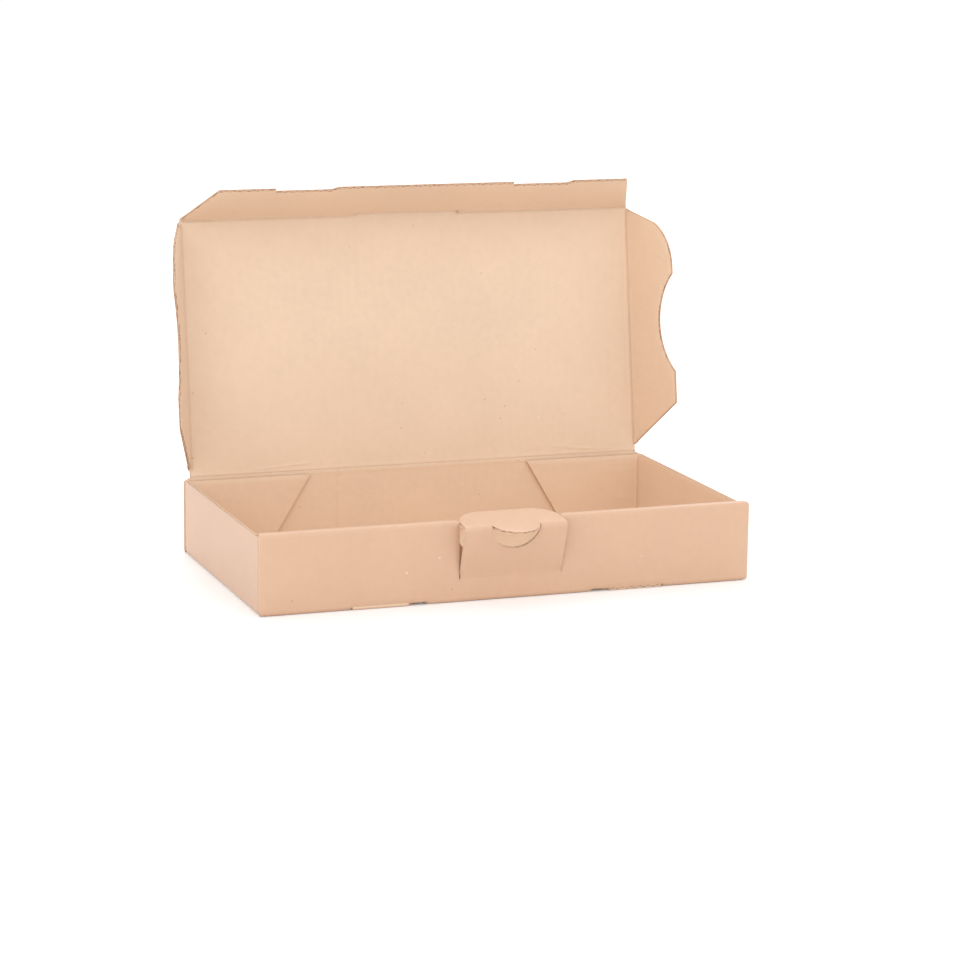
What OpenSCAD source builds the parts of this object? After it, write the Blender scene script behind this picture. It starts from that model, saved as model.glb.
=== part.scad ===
// Large letter mailer box, folded from one sheet of corrugated board and standing open.
// Front is -Y, the width runs along X, +Z is up. The origin is the middle of the underside.

/* [Box] */
// Outer width across the front
box_w = 316; // [280:1:380]
// Outer depth from the front wall to the back wall
box_d = 175; // [165:1:230]
// Height of the front roll above the underside
box_h = 50; // [48:1:70]
// Thickness of the corrugated board
board = 2.5; // [2:0.1:3]
// Air between two layers of board that are folded together
layer_gap = 0.3; // [0.2:0.05:0.5]

/* [Corner flaps] */
// Length of each front corner flap, inside the front wall
front_flap_l = 50; // [20:1:54]
// Height of the corner flaps, away from their folds
corner_flap_h = 42; // [25:1:43]
// Length of each back corner flap along its top edge
back_flap_top = 84; // [40:1:100]
// Length of each back corner flap along its bottom edge
back_flap_bottom = 56; // [20:1:80]

/* [Locking tabs] */
// Distance from the middle of the box to the middle of each locking tab
tab_offset = 80; // [70:1:95]
// Width of each tab along its lower edge
tab_w = 41; // [20:1:44]
// Length of the sloping side of each tab
tab_ramp = 8; // [3:1:12]
// Free space around a tab in its slot
slot_play = 0.5; // [0.3:0.1:1]

/* [Lock tab] */
// Width of the lock tab in the front wall
lock_w = 65.6; // [50:0.2:76]
// Height of the crease that the lock tab swings on
lock_crease_z = 15; // [10:1:20]
// Free space on each side of the lock tab in its window
lock_play = 0.3; // [0.3:0.1:1]
// Angle that the lock tab leans out of the front wall
lock_tilt = 18; // [5:1:30]
// Length of the tongue behind the lock tab's fold
tongue_l = 24; // [15:0.5:30]
// Radius of the tongue's two rear corners
tongue_corner_r = 17; // [5:1:20]
// Angle that the tongue is folded back from the lock tab's face
tongue_fold = 99; // [90:1:110]
// Width of the half-round thumb piece at the fold
thumb_w = 30.6; // [20:1:40]
// Reach of the thumb piece in front of the fold
thumb_l = 12.8; // [6:1:15]

/* [Lid] */
// Free space between the lid's folded flaps and the walls that they slide past
lid_play = 0.35; // [0.3:0.1:1.5]
// Angle that the open lid leans back from upright
lid_lean = 8.6; // [0:0.2:20]
// Angle that the lid can lie back from upright
lid_back_limit = 106.6; // [95:0.2:110]
// Width of the slit for the tongue at the lid's front crease
slit_w = 65.6; // [60:0.2:90]
// Offset of the slit from the crease into the tuck flap
slit_offset = 3; // [1.5:0.1:4]
// Length of the slit's long sloping end, on the left, half of it beyond the slit's width
slit_ramp = 8; // [2:0.5:14]
// Length of the slit's short sloping end, on the right
slit_step = 2; // [1:0.5:8]

/* [Tuck flap] */
// Depth of the tuck flap from its crease to its free edge
tuck_l = 45; // [25:1:46]
// How much narrower the flap gets at each end
tuck_taper = 16; // [6:0.5:30]
// Angle that the flap is folded in from the lid's plane
tuck_fold = 68.5; // [30:0.5:90]
// Depth of the two recesses in the free edge, over the locking tabs
recess_l = 3.5; // [1:0.5:8]

/* [Ears] */
// Depth of the ears from the side crease to the two lobes
ear_l = 45.2; // [36:0.2:46]
// Angle that the left ear is folded in from the lid's plane
left_ear_fold = 70; // [30:0.5:90]
// Angle that the right ear is folded in from the lid's plane
right_ear_fold = 73.5; // [30:0.5:90]
// Distance from the hinge to the lobe at the end of the ear's straight diagonal edge
ear_lobe = 33; // [20:1:45]
// Distance from the hinge to the middle of the wave
wave_centre = 86; // [80:1:92]
// Radius of the wave
wave_r = 43; // [36:0.5:60]
// Depth of the wave
wave_l = 14.4; // [5:0.2:20]
// Radius of the round shoulder near the lid's front edge
shoulder_r = 33.6; // [20:0.2:38]

/* [Hidden] */
$fn = 48;
kraft_out = "#e6bfa1";
kraft_in = "#edcbae";
// Overlap of solids that are one piece, and overshoot of cuts
eps = 0.01;
over = 1;

// The front is three layers deep: wall, corner flap, inner wall
half_w = box_w / 2;
inner_x = half_w - board;
front_y = -box_d / 2;
wall_in_y = front_y + board;
corner_flap_y = wall_in_y + layer_gap;
inner_wall_y = corner_flap_y + board + layer_gap;
roll_back_y = inner_wall_y + board;
back_y = box_d / 2;
back_flap_y = back_y - board - layer_gap;
roll_z = box_h - board;
side_top_z = roll_z - layer_gap;
flap_z = board + layer_gap;

// A crease that bends is a round nose on one board, with the other board hollowed to turn on it
nose_r = board / 2;
nose_play = 0.2;
// Free space between the tuck flap's crease and the ears, at the lid's two front corners
fold_play = 0.6;
// How far the back wall's top corners slope down below the side walls, to clear the folded ears
corner_drop = 0.6;
lid_fold_limit = 90;
tuck_fold_limit = 112;
ear_fold_limit = 120;
lock_out_limit = 42;

// Hinge of the lid, in the middle of the back wall's board
hinge_y = back_y - board / 2;
hinge_z = box_h - board / 2;
lid_w = 2 * (inner_x - lid_play - board / 2);
lid_l = hinge_y - (roll_back_y + lid_play + board / 2);

// The ears and the tuck flap stop short of the lid's corners, to pass each other when folded
ear_start = hinge_y - back_flap_y + board + layer_gap;
ear_end = lid_l - board / 2 - fold_play;
ear_slope = 5.6;
tuck_half_w = lid_w / 2 - fold_play;

// The tongue was cut out of the roll and of the inner wall
lock_y = front_y + board / 2;
lock_h = roll_z - layer_gap - lock_crease_z;
window_w = lock_w + 2 * lock_play;
roll_run = inner_wall_y - wall_in_y;
thumb_r = (thumb_w * thumb_w / 4 + thumb_l * thumb_l) / (2 * thumb_l);

// Points along an arc, for the round stretches of an outline
function arc(centre, r, from, to, steps = 12) =
    [for (i = [0 : steps]) let (a = from + (to - from) * i / steps) centre + r * [cos(a), sin(a)]];

// The part modules draw each panel flat: its crease along X at the origin, the panel on the +Y
// side, the board centred on the XY plane, and the face that ends up inside the box towards -Z.
module sheet() {
    translate([0, 0, -board / 2]) linear_extrude(board) children();
}

// Round nose along a crease
module nose(length, r = nose_r) {
    rotate([0, 90, 0]) cylinder(r = r, h = length, center = true);
}

// What a panel loses beside its crease, so that it can fold by the two limits and turn on the nose
module crease_cut(length, in_limit, out_limit = 0) {
    nose(length, nose_r + nose_play);
    if (in_limit > 0) fold_wedge(length, in_limit);
    if (out_limit > 0) mirror([0, 0, 1]) fold_wedge(length, out_limit);
}

// Room for the neighbouring board at the given fold, on the -Z side
module fold_wedge(length, limit) {
    reach = 4 * board;
    foot = (nose_r + nose_play / 2) * [sin(limit), -cos(limit)];
    far = foot - reach * [cos(limit), sin(limit)];
    rotate([90, 0, 90]) linear_extrude(length, center = true)
        polygon([[-reach, foot[1]], foot, far, [-reach, far[1]]]);
}

// Quarter round that closes a right-angled fold along X. Its inside corner is at the origin and
// it fills the quarter towards -Y and -Z.
module fold_corner(length) {
    intersection() {
        nose(length, board);
        translate([-length / 2 - over, -board - over, -board - over])
            cube([length + 2 * over, board + over, board + over]);
    }
}

// The same for an upright fold along Z, in the quarter towards +X and -Y
module upright_corner(height) {
    intersection() {
        cylinder(r = board, h = height);
        translate([0, -board - over, -over]) cube([board + over, board + over, height + 2 * over]);
    }
}

// Outline of a locking tab, from its root at Y = board down to its lower edge at Y = 0, with the
// slope on the side that faces the middle of the box
module tab_outline(play = 0) {
    outer = tab_offset + tab_w / 2 + play;
    inner = tab_offset - tab_w / 2 - play;
    polygon([[outer, -play], [outer, flap_z], [inner - tab_ramp, flap_z], [inner, -play]]);
}

// Outline of the tongue or of its window, from Y = 0 to the rounded rear edge
module tongue_outline(width, length) {
    corner = [width / 2 - tongue_corner_r, length - tongue_corner_r];
    polygon(concat([[-width / 2, 0], [width / 2, 0]],
                   arc(corner, tongue_corner_r, 0, 90),
                   arc([-corner[0], corner[1]], tongue_corner_r, 90, 180)));
}

// One folded sheet: base, walls, front roll, inner wall with locking tabs, and corner flaps
module tray() {
    color(kraft_out) difference() {
        union() {
            base();
            back_wall();
            for (side = [0, 1]) mirror([side, 0, 0]) side_wall();
            front_wall();
            inner_wall();
        }
        lock_window();
    }
    color(kraft_out) translate([0, lock_y, lock_crease_z]) nose(window_w);
}

module base() {
    difference() {
        union() {
            translate([-inner_x, wall_in_y, 0]) cube([2 * inner_x, box_d - 2 * board, board]);
            translate([0, wall_in_y, board]) fold_corner(box_w);
        }
        for (side = [0, 1]) mirror([side, 0, 0]) tab_slot();
    }
}

// Back wall, whose top corners slope down from the lid's crease to the side walls. A core inside
// the fold joins it to the base.
module back_wall() {
    translate([0, back_y, 0]) rotate([90, 0, 0]) linear_extrude(board)
        polygon([[-half_w, board], [half_w, board], [half_w, side_top_z - corner_drop], [lid_w / 2, hinge_z],
                 [-lid_w / 2, hinge_z], [-half_w, side_top_z - corner_drop]]);
    translate([0, hinge_y, hinge_z]) nose(lid_w);
    translate([0, back_y - board, board]) mirror([0, 1, 0]) fold_corner(box_w);
    translate([1 - inner_x, back_y - 1.4 * board, 0.6 * board]) cube([2 * inner_x - 2, board, 0.3 * board]);
    translate([1 - inner_x, back_y - 0.8 * board, 0.6 * board]) cube([2 * inner_x - 2, 0.5 * board, board]);
}

// Right-hand side wall with its two corner flaps
module side_wall() {
    y0 = corner_flap_y + board;
    y1 = back_flap_y - board;
    translate([inner_x, y0, board]) cube([board, y1 - y0, side_top_z - board]);
    translate([inner_x, 0, board]) rotate([0, 0, 90]) fold_corner(box_d - 2 * board);
    translate([inner_x, y0, 0]) corner_flap(front_flap_l, front_flap_l);
    translate([inner_x, y1, 0]) mirror([0, 1, 0]) corner_flap(back_flap_top, back_flap_bottom);
}

// Corner flap that turns in from a side wall. The inside corner of its fold is at the origin.
module corner_flap(top_l, bottom_l) {
    fold_h = side_top_z - flap_z;
    drop = fold_h - corner_flap_h;
    translate([0, 0, flap_z]) {
        upright_corner(fold_h);
        rotate([90, 0, 0]) linear_extrude(board)
            polygon([[eps, 0], [eps, fold_h], [-drop, corner_flap_h], [-top_l, corner_flap_h], [-bottom_l, 0]]);
    }
}

// Outer front wall and the roll along its top
module front_wall() {
    difference() {
        translate([-half_w, front_y, board]) cube([box_w, board, roll_z - board]);
        for (side = [0, 1]) mirror([side, 0, 0]) tab_slot();
    }
    translate([0, wall_in_y, roll_z]) mirror([0, 0, 1]) fold_corner(box_w);
    translate([-half_w, wall_in_y - eps, roll_z]) cube([box_w, roll_run + 2 * eps, board]);
    translate([0, inner_wall_y, roll_z]) mirror([0, 1, 0]) mirror([0, 0, 1]) fold_corner(box_w);
}

// Inner front wall, which hangs from the roll and locks into the base with two tabs
module inner_wall() {
    wall_x = inner_x - layer_gap;
    translate([0, roll_back_y, 0]) rotate([90, 0, 0]) linear_extrude(board) union() {
        translate([-wall_x, flap_z]) square([2 * wall_x, roll_z - flap_z + eps]);
        for (side = [0, 1]) mirror([side, 0]) tab_outline();
    }
}

// Slot for a locking tab, through the base along its front crease
module tab_slot() {
    translate([0, roll_back_y + slot_play, 0]) rotate([90, 0, 0])
        linear_extrude(roll_back_y + slot_play - front_y + over) tab_outline(slot_play);
}

// Window that the lock tab was cut from: upright sides through the wall and the roll, and the
// outline of the tongue through the inner wall
module lock_window() {
    translate([-window_w / 2, front_y - over, lock_crease_z]) cube([window_w, board + 2 * over, box_h]);
    translate([-window_w / 2, front_y - over, roll_z])
        cube([window_w, roll_back_y - front_y + 2 * over, 2 * board]);
    translate([0, roll_back_y + over, roll_z + eps]) rotate([90, 0, 0]) mirror([0, 1, 0])
        linear_extrude(board + 2 * over) tongue_outline(window_w, tongue_l - roll_run + eps);
}

// Places what is drawn on the lid: Y runs from the hinge to the lid's front edge
module on_lid() {
    translate([0, hinge_y, hinge_z]) rotate([90 - lid_lean, 0, 0]) mirror([0, 0, 1]) children();
}

module lid() {
    color(kraft_in) on_lid() difference() {
        union() {
            sheet() lid_outline();
            for (side = [-1, 1]) {
                translate([side * lid_w / 2, (ear_start + ear_end) / 2, 0])
                    rotate([0, 0, 90]) nose(ear_end - ear_start);
                translate([side * (tuck_half_w + slit_w / 2) / 2, lid_l, 0]) nose(tuck_half_w - slit_w / 2);
            }
        }
        crease_cut(box_w + 2 * over, lid_fold_limit, lid_back_limit);
    }
}

module lid_outline() {
    translate([-lid_w / 2, 0]) square([lid_w, lid_l]);
    translate([0, lid_l]) slit_outline();
}

// The shallow piece beside the slit, which stays on the lid when the tuck flap folds
module slit_outline(play = 0) {
    foot = -slit_w / 2 - slit_ramp / 2 - play;
    polygon([[foot, -eps], [slit_w / 2 + play, -eps], [slit_w / 2 - slit_step + play, slit_offset + play],
             [foot + slit_ramp, slit_offset + play]]);
}

module tuck_flap() {
    crease_w = 2 * tuck_half_w + 2 * over;
    color(kraft_in) on_lid() translate([0, lid_l, 0]) rotate([-tuck_fold, 0, 0]) difference() {
        sheet() tuck_outline();
        crease_cut(crease_w, tuck_fold_limit);
        slit_room();
    }
}

module tuck_outline() {
    end_w = lid_w / 2 - tuck_taper;
    difference() {
        polygon([[-tuck_half_w, 0], [tuck_half_w, 0], [end_w, tuck_l], [-end_w, tuck_l]]);
        for (middle = [-tab_offset, tab_offset]) translate([middle, tuck_l]) recess_outline();
    }
}

// Recess in the free edge, square at its left end and sloping at its right end
module recess_outline() {
    polygon([[-tab_w / 2, over], [-tab_w / 2, -recess_l], [tab_w / 2 - tab_ramp / 2, -recess_l],
             [tab_w / 2, 0], [tab_w / 2, over]]);
}

// The tuck flap's side of the slit: its board ends below the piece that stays on the lid, at any
// fold, which leaves the mouth for the tongue
module slit_room() {
    translate([0, 0, -board]) linear_extrude(2 * board) {
        slit_outline(nose_play);
        translate([-slit_w / 2 - slit_ramp / 2 - nose_play, -board])
            square([slit_w + slit_ramp / 2 + 2 * nose_play, board]);
    }
    translate([-slit_ramp / 4, 0, 0])
        nose(slit_w + slit_ramp / 2 + 2 * nose_play, norm([slit_offset, board / 2]) + nose_play);
}

// Outline of an ear: straight diagonal, flat lobe, wave, round shoulder and sloping front edge.
// X runs along the crease from the hinge, and Y from the crease to the lobes.
module ear_outline() {
    shoulder = [ear_end - ear_slope - shoulder_r, ear_l - shoulder_r];
    difference() {
        polygon(concat([[ear_start, 0], [ear_lobe, ear_l]],
                       arc(shoulder, shoulder_r, 90, 30),
                       [[ear_end, 0]]));
        translate([wave_centre, ear_l - wave_l + wave_r]) circle(r = wave_r, $fn = 96);
    }
}

module ear(fold) {
    crease_l = lid_l + 2 * over;
    color(kraft_in) rotate([-fold, 0, 0]) difference() {
        sheet() ear_outline();
        translate([lid_l / 2, 0, 0]) crease_cut(crease_l, ear_fold_limit);
    }
}

module right_ear() {
    on_lid() translate([lid_w / 2, 0, 0]) mirror([1, 0, 0]) rotate([0, 0, 90]) ear(right_ear_fold);
}

module left_ear() {
    on_lid() mirror([1, 0, 0]) translate([lid_w / 2, 0, 0]) mirror([1, 0, 0]) rotate([0, 0, 90]) ear(left_ear_fold);
}

// Face that swings out of the front wall, with the tongue folded back from its top
module lock_tab() {
    color(kraft_out) translate([0, lock_y, lock_crease_z]) rotate([90 + lock_tilt, 0, 0]) {
        difference() {
            union() {
                sheet() translate([-lock_w / 2, 0]) square([lock_w, lock_h]);
                tongue_bend();
            }
            crease_cut(window_w + 2 * over, lid_fold_limit, lock_out_limit);
            thumb_hole();
        }
        at_tongue() tongue();
    }
}

// Frame of the tongue: origin at the inside corner of its fold, Y along the tongue
module at_tongue() {
    translate([0, lock_h, -board / 2]) rotate([-tongue_fold, 0, 0]) children();
}

// Round outside of the fold between the face and the tongue
module tongue_bend() {
    inside = [lock_h, -board / 2];
    rotate([90, 0, 90]) linear_extrude(lock_w, center = true)
        polygon(concat([inside], arc(inside, board, 90, 90 - tongue_fold)));
}

// Hole that the thumb piece leaves in the face, up to the fold
module thumb_hole() {
    translate([0, lock_h + thumb_r - thumb_l, -2 * board]) cylinder(r = thumb_r + nose_play, h = 5 * board);
}

// Tongue with the thumb piece in one plane with it
module tongue() {
    linear_extrude(board) {
        tongue_outline(lock_w, tongue_l);
        intersection() {
            translate([0, thumb_r - thumb_l]) circle(r = thumb_r, $fn = 96);
            translate([-thumb_w, -2 * thumb_l]) square([2 * thumb_w, 2 * thumb_l + over]);
        }
    }
}

tray();
lid();
tuck_flap();
left_ear();
right_ear();
lock_tab();
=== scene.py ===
# %% [markdown]
# # A mailer box of corrugated board
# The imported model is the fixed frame: every piece here is in metres, in its axes. The front of the
# box faces -Y, the lid stands at the back, and +Z is up.
#
# A real mailer is die-cut as one flat blank and then folded up. This script works the same way: each
# piece starts as a flat outline in millimetres, gets the board's thickness and its crushed cut edges
# while it is flat, and is folded last. The flat place of every point is kept as an attribute, so the
# paper's pattern runs on round each fold, as it does on the real sheet.

import math

import bmesh
import bpy
import numpy as np
from mathutils import Matrix, Vector, noise


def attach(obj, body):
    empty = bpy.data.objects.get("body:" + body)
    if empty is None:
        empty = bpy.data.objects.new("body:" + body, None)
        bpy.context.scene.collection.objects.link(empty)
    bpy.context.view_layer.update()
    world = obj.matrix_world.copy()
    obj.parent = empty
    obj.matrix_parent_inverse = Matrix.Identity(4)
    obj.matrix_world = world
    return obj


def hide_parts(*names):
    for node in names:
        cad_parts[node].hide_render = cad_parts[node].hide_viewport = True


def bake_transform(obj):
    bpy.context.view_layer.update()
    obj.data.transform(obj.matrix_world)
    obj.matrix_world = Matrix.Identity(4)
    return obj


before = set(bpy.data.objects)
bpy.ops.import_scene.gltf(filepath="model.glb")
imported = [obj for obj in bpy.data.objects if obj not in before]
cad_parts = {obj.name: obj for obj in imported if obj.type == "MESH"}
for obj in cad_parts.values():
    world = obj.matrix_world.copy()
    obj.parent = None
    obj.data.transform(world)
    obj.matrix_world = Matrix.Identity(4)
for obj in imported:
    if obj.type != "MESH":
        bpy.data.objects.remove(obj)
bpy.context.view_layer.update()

# %% [markdown]
# ## Camera
# The photograph was taken with a long lens from the front left and a little above. The numbers come
# from fitting a camera to measured corners of the box: direction, roll, distance and focal length.
# A long lens keeps the upright edges almost parallel.

# %% Camera
AZIMUTH, ELEVATION, ROLL = 20.29, 12.06, 0.796   # degrees
DISTANCE = 1.9609                                # m, from the middle of the tray
AIM_RIGHT, AIM_UP = 0.01129, 0.03005             # m, from there to the middle of the picture
FOCAL_PIXELS, PICTURE = 3104.0, 960

az, el = math.radians(AZIMUTH), math.radians(ELEVATION)
ahead = Vector((math.sin(az) * math.cos(el), math.cos(az) * math.cos(el), -math.sin(el)))
right = ahead.cross(Vector((0, 0, 1))).normalized()
up = right.cross(ahead)
turn = Matrix.Rotation(-math.radians(ROLL), 3, ahead)
right, up = turn @ right, turn @ up
camera_at = Vector((0, 0, 0.025)) - ahead * DISTANCE + right * AIM_RIGHT + up * AIM_UP

lens = bpy.data.cameras.new("camera")
lens.sensor_width = 36
lens.lens = FOCAL_PIXELS / PICTURE * 36
lens.clip_start, lens.clip_end = 0.05, 30
camera = bpy.data.objects.new("camera", lens)
camera.matrix_world = Matrix.Translation(camera_at) @ Matrix((right, up, -ahead)).transposed().to_4x4()
bpy.context.collection.objects.link(camera)
bpy.context.scene.camera = camera
print("camera", tuple(round(v, 3) for v in camera_at), "lens", round(lens.lens, 1), "mm")

# %% [markdown]
# ## Colour and node helpers
# Colours are written as sRGB hex, as a paint chart gives them, and Blender's shaders want linear
# light, so one function turns one into the other. One more function adds a node with its settings
# and its links.

# %% Helpers for materials
def linear(code):
    """sRGB hex to linear RGBA."""
    parts = [int(code[i:i + 2], 16) / 255 for i in (1, 3, 5)]
    return tuple(c / 12.92 if c <= 0.04045 else ((c + 0.055) / 1.055) ** 2.4 for c in parts) + (1.0,)


def add(tree, kind, settings=None, **inputs):
    """Adds a node. An input is a value or another node's socket. _3 means the fourth socket."""
    node = tree.nodes.new(kind)
    for name, value in (settings or {}).items():
        setattr(node, name, value)
    for name, value in inputs.items():
        key = int(name[1:]) if name[0] == "_" and name[1:].isdigit() else name.replace("_", " ")
        if isinstance(value, bpy.types.NodeSocket):
            tree.links.new(value, node.inputs[key])
        else:
            node.inputs[key].default_value = value
    return node


def new_material(name):
    material = bpy.data.materials.new(name)
    material.use_nodes = True
    material.node_tree.nodes.clear()
    return material, material.node_tree


print("mid grey, linear:", round(linear("#808080")[0], 3))

# %% [markdown]
# ## Kraft liner
# The board's faces are brown kraft paper: pulp fibres, pressed and dried. The eye sees a soft
# mottled brown with short fibres and a few dark specks, and faint bars where the liner is glued to
# the flutes behind it. The paper could be painted on with a picture, but a node pattern has no
# seams and any size. It reads the attribute "sheet", the point's place on the flat blank in
# millimetres: X across the flutes, Y along them, and Z through the board, which also tells the
# outside of the box from the inside. Paper turns pale at a low angle, so it has a roughness under a
# half and a soft sheen.

# %% Kraft liner
FLUTE_PITCH = 6.0      # mm from one flute to the next, as single-wall board of this thickness has
OUTSIDE, INSIDE = "#dcb496", "#ebcfb4"
# One speck in a cell of 14 or 17 mm: cells per mm, radius in mm, share of the cells, colour, strength
SPECKS = ((1 / 14, 0.55, 0.5, "#8a6a4c", 0.35), (1 / 17, 0.8, 0.45, "#f4e0cc", 0.5))


def kraft_liner():
    material, tree = new_material("kraft liner")
    place = add(tree, "ShaderNodeAttribute", {"attribute_name": "sheet"}).outputs["Vector"]
    split = add(tree, "ShaderNodeSeparateXYZ", Vector=place)
    side = add(tree, "ShaderNodeMath", {"operation": "GREATER_THAN"}, _0=split.outputs["Z"], _1=0.0)
    base = add(tree, "ShaderNodeMix", {"data_type": "RGBA"}, _0=side.outputs["Value"],
               _6=linear(INSIDE), _7=linear(OUTSIDE))

    # Clouds of 60 mm where the pulp was denser, and a finer mottle of about 5 mm
    cloud = add(tree, "ShaderNodeTexNoise", Vector=place, Scale=1 / 60, Detail=3.0, Roughness=0.5)
    mottle = add(tree, "ShaderNodeTexNoise", Vector=place, Scale=1 / 5, Detail=4.0, Roughness=0.6)
    # Short fibres lie mostly across the flutes, the way the paper ran through its mill
    stretched = add(tree, "ShaderNodeMapping", Vector=place, Scale=(0.3, 1.1, 0.5))
    fibre = add(tree, "ShaderNodeTexNoise", Vector=stretched.outputs["Vector"],
                Scale=1.0, Detail=2.0, Roughness=0.7)

    def tinted(colour, mask, low, high, dark, light):
        """Multiplies the colour by dark where the mask is low and by light where it is high."""
        level = add(tree, "ShaderNodeMapRange", Value=mask, _1=low, _2=high, _3=dark, _4=light)
        grey = add(tree, "ShaderNodeCombineColor",
                   Red=level.outputs[0], Green=level.outputs[0], Blue=level.outputs[0])
        return add(tree, "ShaderNodeMix", {"data_type": "RGBA", "blend_type": "MULTIPLY"}, _0=1.0,
                   _6=colour, _7=grey.outputs[0]).outputs[2]

    colour = tinted(base.outputs[2], cloud.outputs[0], 0.3, 0.7, 0.97, 1.02)
    colour = tinted(colour, mottle.outputs[0], 0.3, 0.7, 0.98, 1.015)
    colour = tinted(colour, fibre.outputs[0], 0.25, 0.75, 0.99, 1.008)

    # Bars over the flutes: a bump gives their relief, and the faint darkening here is painted shade of it
    turns = add(tree, "ShaderNodeMath", {"operation": "MULTIPLY"},
                _0=split.outputs["X"], _1=2 * math.pi / FLUTE_PITCH)
    bars = add(tree, "ShaderNodeMath", {"operation": "SINE"}, _0=turns.outputs[0])
    colour = tinted(colour, bars.outputs[0], -1.0, 1.0, 0.996, 1.0)
    # Painted shade darkens the crease's valley: "crease" is 1 there and 0 away from it
    valley = add(tree, "ShaderNodeAttribute", {"attribute_name": "crease"}).outputs["Fac"]
    colour = tinted(colour, valley, 0.0, 1.0, 1.0, 0.8)

    # Specks of bark and of pale pulp, 0.5 to 1 mm across, one in every few square centimetres
    def speck(scale, reach, share):
        cell = add(tree, "ShaderNodeTexVoronoi", {"feature": "F1"},
                   Vector=place, Scale=scale, Randomness=1.0)
        near = add(tree, "ShaderNodeMath", {"operation": "LESS_THAN"},
                   _0=cell.outputs["Distance"], _1=reach * scale)
        picked = add(tree, "ShaderNodeSeparateColor", Color=cell.outputs["Color"])
        chosen = add(tree, "ShaderNodeMath", {"operation": "LESS_THAN"}, _0=picked.outputs[0], _1=share)
        return add(tree, "ShaderNodeMath", {"operation": "MULTIPLY"},
                   _0=near.outputs[0], _1=chosen.outputs[0]).outputs[0]

    for scale, reach, share, paint, strength in SPECKS:
        mask = speck(scale, reach, share)
        amount = add(tree, "ShaderNodeMath", {"operation": "MULTIPLY"}, _0=mask, _1=strength)
        colour = add(tree, "ShaderNodeMix", {"data_type": "RGBA"},
                     _0=amount.outputs[0], _6=colour, _7=linear(paint)).outputs[2]

    height = add(tree, "ShaderNodeMath", {"operation": "MULTIPLY_ADD"},
                 _0=bars.outputs[0], _1=0.2, _2=fibre.outputs[0])
    bump = add(tree, "ShaderNodeBump", Height=height.outputs[0], Strength=0.15, Distance=0.00012)
    shader = add(tree, "ShaderNodeBsdfPrincipled",
                 Base_Color=colour, Roughness=0.42, Normal=bump.outputs[0])
    # The outer liner is pressed smoother, so it turns paler than the inner one at a low angle
    pale = add(tree, "ShaderNodeMapRange", Value=side.outputs[0], _3=0.1, _4=0.32)
    tree.links.new(pale.outputs[0], shader.inputs["Sheen Weight"])
    shader.inputs["Sheen Roughness"].default_value = 0.35
    add(tree, "ShaderNodeOutputMaterial", Surface=shader.outputs["BSDF"])
    return material


liner = kraft_liner()

# %% [markdown]
# ## Cut edge with open flutes
# A die cuts through all three papers, so the cut edge shows the two liners and the wavy medium
# between them, with dark hollows. It could be modelled flute by flute, but that is thousands of tiny
# faces. Here the liners' lips and the groove between them are real geometry, and this finish draws
# the wave at the bottom of the groove, with painted shade in the hollows between the flutes.

# %% Open flutes
def open_flutes():
    material, tree = new_material("open flutes with painted shade")
    place = add(tree, "ShaderNodeAttribute", {"attribute_name": "sheet"}).outputs["Vector"]
    split = add(tree, "ShaderNodeSeparateXYZ", Vector=place)
    turns = add(tree, "ShaderNodeMath", {"operation": "MULTIPLY"},
                _0=split.outputs["X"], _1=2 * math.pi / FLUTE_PITCH)
    wave = add(tree, "ShaderNodeMath", {"operation": "SINE"}, _0=turns.outputs[0])
    wave = add(tree, "ShaderNodeMath", {"operation": "MULTIPLY"}, _0=wave.outputs[0], _1=0.55)
    off = add(tree, "ShaderNodeMath", {"operation": "SUBTRACT"},
              _0=split.outputs["Z"], _1=wave.outputs[0])
    off = add(tree, "ShaderNodeMath", {"operation": "ABSOLUTE"}, _0=off.outputs[0])
    # hollow marks the hollows between the flutes; the darker colour mixed in there below is painted shade
    hollow = add(tree, "ShaderNodeMapRange", {"interpolation_type": "SMOOTHSTEP"}, Value=off.outputs[0],
                 _1=0.15, _2=0.45, _3=0.0, _4=1.0)
    # A noise makes the painted shade stronger in some places and weaker in others
    ragged = add(tree, "ShaderNodeTexNoise", Vector=place, Scale=0.5, Detail=3.0, Roughness=0.6)
    shade_strength = add(tree, "ShaderNodeMapRange", Value=ragged.outputs[0], _1=0.4, _2=0.6, _3=0.35, _4=1.0)
    dark = add(tree, "ShaderNodeMath", {"operation": "MULTIPLY"},
               _0=hollow.outputs[0], _1=shade_strength.outputs[0])
    # e2c2a6 is the medium's own colour, #9c7d66 the painted shade in the hollows
    colour = add(tree, "ShaderNodeMix", {"data_type": "RGBA"},
                 _0=dark.outputs[0], _6=linear("#e2c2a6"), _7=linear("#9c7d66"))
    shader = add(tree, "ShaderNodeBsdfPrincipled", Base_Color=colour.outputs[2], Roughness=0.9)
    add(tree, "ShaderNodeOutputMaterial", Surface=shader.outputs["BSDF"])
    return material


flutes = open_flutes()
print("materials:", liner.name, "and", flutes.name)

# %% [markdown]
# ## Flat board
# A panel starts as a flat outline. Planes cut it into a grid, closer together beside the cut edges
# and creases, so that it can bend there. It is then extruded to the board's thickness. A die crushes
# the board where it cuts, so the two liners come together towards each cut edge, and the edge faces
# are inset and pushed in, to leave two thin lips with a groove.

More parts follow.
